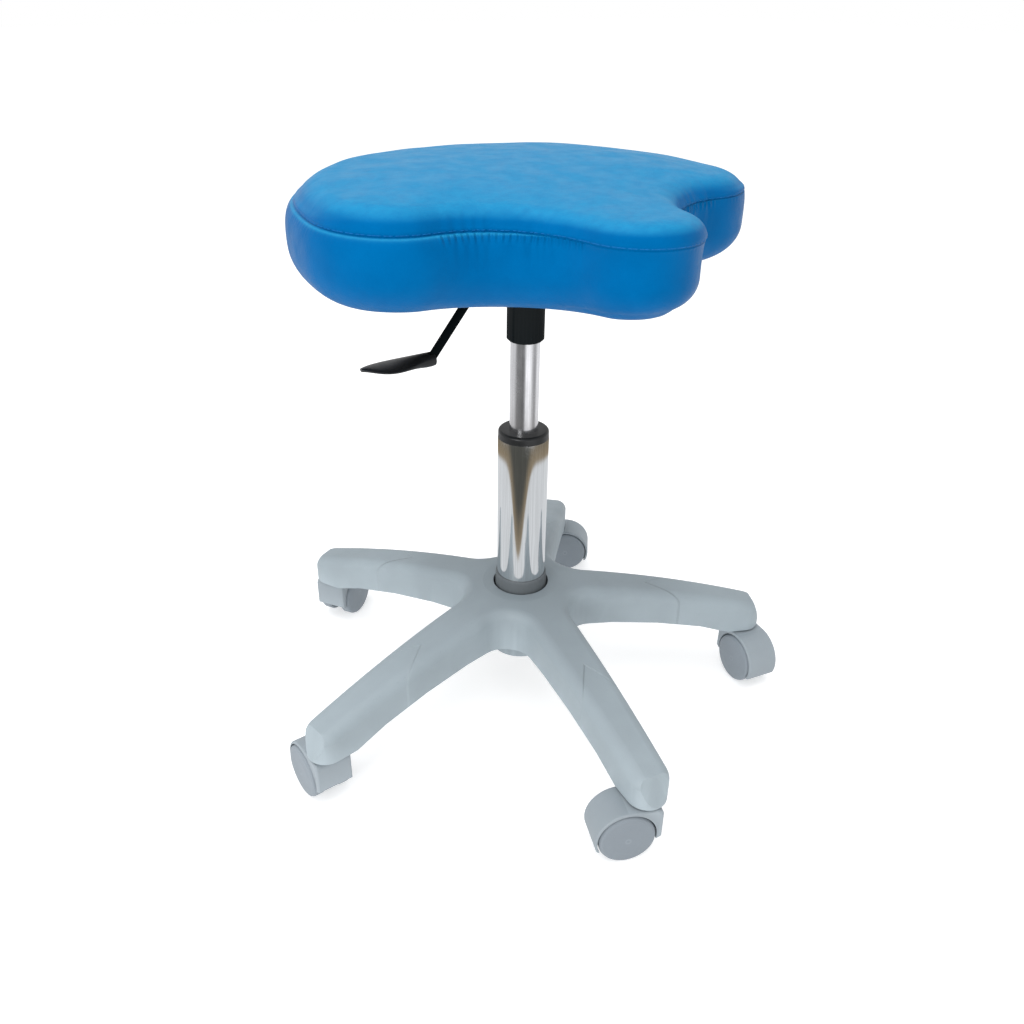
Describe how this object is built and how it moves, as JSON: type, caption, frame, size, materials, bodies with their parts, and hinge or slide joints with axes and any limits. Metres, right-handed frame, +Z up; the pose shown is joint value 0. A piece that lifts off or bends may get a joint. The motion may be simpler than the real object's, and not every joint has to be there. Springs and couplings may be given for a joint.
{
  "type": "dentist stool",
  "caption": "Height-adjustable swivel stool with a contoured upholstered seat, gas-spring column, release lever and a rolling star base on twin-wheel castors.",
  "frame": {"origin": "on the floor, on the column's axis", "axes": "+Z up along the column; the seat's rounded nose points to -Y; the height lever reaches out to -X"},
  "size_m": [0.5212, 0.5355, 0.547],
  "materials": {
    "base_grey": "matte, moulded",
    "wheel_grey": "satin",
    "hood_grey": "matte, moulded",
    "column_chrome": "polished",
    "cylinder_steel": "satin",
    "black_plastic": "satin",
    "black_steel": "satin",
    "plain_steel": "satin",
    "rubber": "matte",
    "plywood": "matte",
    "foam": "matte",
    "upholstery_blue": "satin",
    "dust_cloth": "matte"
  },
  "bodies": {
    "base": {"star_base": "base_grey", "hub_sleeve": "base_grey", "castor_sockets": "plain_steel", "castor_stems": "plain_steel", "stem_clips": "plain_steel", "column_tube": "column_chrome", "column_guide": "black_plastic", "column_end_plate": "plain_steel", "bearing_lower_race": "plain_steel", "bearing_balls": "plain_steel"},
    "gas_rod": {"bearing_upper_race": "plain_steel", "rod_washer": "plain_steel", "rubber_bumper": "rubber", "piston_rod": "cylinder_steel", "rod_clip": "plain_steel", "piston": "plain_steel"},
    "seat": {"gas_cylinder": "cylinder_steel", "rod_guide_seal": "black_plastic", "taper_socket": "black_steel", "seat_plate": "black_steel", "plate_screws": "plain_steel", "tee_nuts": "plain_steel", "seat_board": "plywood", "seat_foam": "foam", "seat_cover_top": "upholstery_blue", "seat_cover_band": "upholstery_blue", "dust_cover": "dust_cloth", "lever_pivot_pin": "plain_steel"},
    "lever": {"lever_rod": "black_steel", "lever_paddle": "black_plastic"},
    "valve": {"valve_button": "plain_steel"},
    "castor_1": {"castor_hood_1": "hood_grey", "castor_axle_1": "plain_steel"},
    "wheel_left_1": {"castor_wheel_left_1": "wheel_grey"},
    "wheel_right_1": {"castor_wheel_right_1": "wheel_grey"},
    "castor_2": {"castor_hood_2": "hood_grey", "castor_axle_2": "plain_steel"},
    "wheel_left_2": {"castor_wheel_left_2": "wheel_grey"},
    "wheel_right_2": {"castor_wheel_right_2": "wheel_grey"},
    "castor_3": {"castor_hood_3": "hood_grey", "castor_axle_3": "plain_steel"},
    "wheel_left_3": {"castor_wheel_left_3": "wheel_grey"},
    "wheel_right_3": {"castor_wheel_right_3": "wheel_grey"},
    "castor_4": {"castor_hood_4": "hood_grey", "castor_axle_4": "plain_steel"},
    "wheel_left_4": {"castor_wheel_left_4": "wheel_grey"},
    "wheel_right_4": {"castor_wheel_right_4": "wheel_grey"},
    "castor_5": {"castor_hood_5": "hood_grey", "castor_axle_5": "plain_steel"},
    "wheel_left_5": {"castor_wheel_left_5": "wheel_grey"},
    "wheel_right_5": {"castor_wheel_right_5": "wheel_grey"}
  },
  "joints": [
    {"name": "seat_swivel", "type": "hinge", "parent": "base", "child": "gas_rod", "pos_m": [0, 0, 0.074], "axis": [0, 0, 1], "continuous": true},
    {"name": "height_adjust", "type": "slide", "parent": "gas_rod", "child": "seat", "axis": [0, 0, 1], "range_m": [-0.085, 0.035]},
    {"name": "lever_lift", "type": "hinge", "parent": "seat", "child": "lever", "pos_m": [-0.036, 0, 0.4505], "axis": [0, 1, 0], "range_deg": [0, 5]},
    {"name": "valve_press", "type": "slide", "parent": "seat", "child": "valve", "axis": [0, 0, 1], "range_m": [-0.0033, 0]},
    {"name": "castor_swivel_1", "type": "hinge", "parent": "base", "child": "castor_1", "pos_m": [-0.02996, -0.25122, 0.045], "axis": [0, 0, 1], "continuous": true},
    {"name": "wheel_spin_left_1", "type": "hinge", "parent": "castor_1", "child": "wheel_left_1", "pos_m": [-0.04945, -0.24397, 0.0265], "axis": [-0.3486, -0.9373, 0], "continuous": true},
    {"name": "wheel_spin_right_1", "type": "hinge", "parent": "castor_1", "child": "wheel_right_1", "pos_m": [-0.04945, -0.24397, 0.0265], "axis": [-0.3486, -0.9373, 0], "continuous": true},
    {"name": "castor_swivel_2", "type": "hinge", "parent": "base", "child": "castor_2", "pos_m": [0.22967, -0.10612, 0.045], "axis": [0, 0, 1], "continuous": true},
    {"name": "wheel_spin_left_2", "type": "hinge", "parent": "castor_2", "child": "wheel_left_2", "pos_m": [0.22649, -0.12668, 0.0265], "axis": [0.9882, -0.153, 0], "continuous": true},
    {"name": "wheel_spin_right_2", "type": "hinge", "parent": "castor_2", "child": "wheel_right_2", "pos_m": [0.22649, -0.12668, 0.0265], "axis": [0.9882, -0.153, 0], "continuous": true},
    {"name": "castor_swivel_3", "type": "hinge", "parent": "base", "child": "castor_3", "pos_m": [0.1719, 0.18563, 0.045], "axis": [0, 0, 1], "continuous": true},
    {"name": "wheel_spin_left_3", "type": "hinge", "parent": "castor_3", "child": "wheel_left_3", "pos_m": [0.18838, 0.17294, 0.0265], "axis": [0.6101, 0.7923, 0], "continuous": true},
    {"name": "wheel_spin_right_3", "type": "hinge", "parent": "castor_3", "child": "wheel_right_3", "pos_m": [0.18838, 0.17294, 0.0265], "axis": [0.6101, 0.7923, 0], "continuous": true},
    {"name": "castor_swivel_4", "type": "hinge", "parent": "base", "child": "castor_4", "pos_m": [-0.12343, 0.22085, 0.045], "axis": [0, 0, 1], "continuous": true},
    {"name": "wheel_spin_left_4", "type": "hinge", "parent": "castor_4", "child": "wheel_left_4", "pos_m": [-0.10633, 0.23269, 0.0265], "axis": [-0.5693, 0.8221, 0], "continuous": true},
    {"name": "wheel_spin_right_4", "type": "hinge", "parent": "castor_4", "child": "wheel_right_4", "pos_m": [-0.10633, 0.23269, 0.0265], "axis": [-0.5693, 0.8221, 0], "continuous": true},
    {"name": "castor_swivel_5", "type": "hinge", "parent": "base", "child": "castor_5", "pos_m": [-0.24818, -0.04914, 0.045], "axis": [0, 0, 1], "continuous": true},
    {"name": "wheel_spin_left_5", "type": "hinge", "parent": "castor_5", "child": "wheel_left_5", "pos_m": [-0.24963, -0.02839, 0.0265], "axis": [-0.9976, -0.0698, 0], "continuous": true},
    {"name": "wheel_spin_right_5", "type": "hinge", "parent": "castor_5", "child": "wheel_right_5", "pos_m": [-0.24963, -0.02839, 0.0265], "axis": [-0.9976, -0.0698, 0], "continuous": true}
  ],
  "couplings": [
    {"joint": "valve_press", "follows": "lever_lift", "m_per_rad": -0.036}
  ]
}
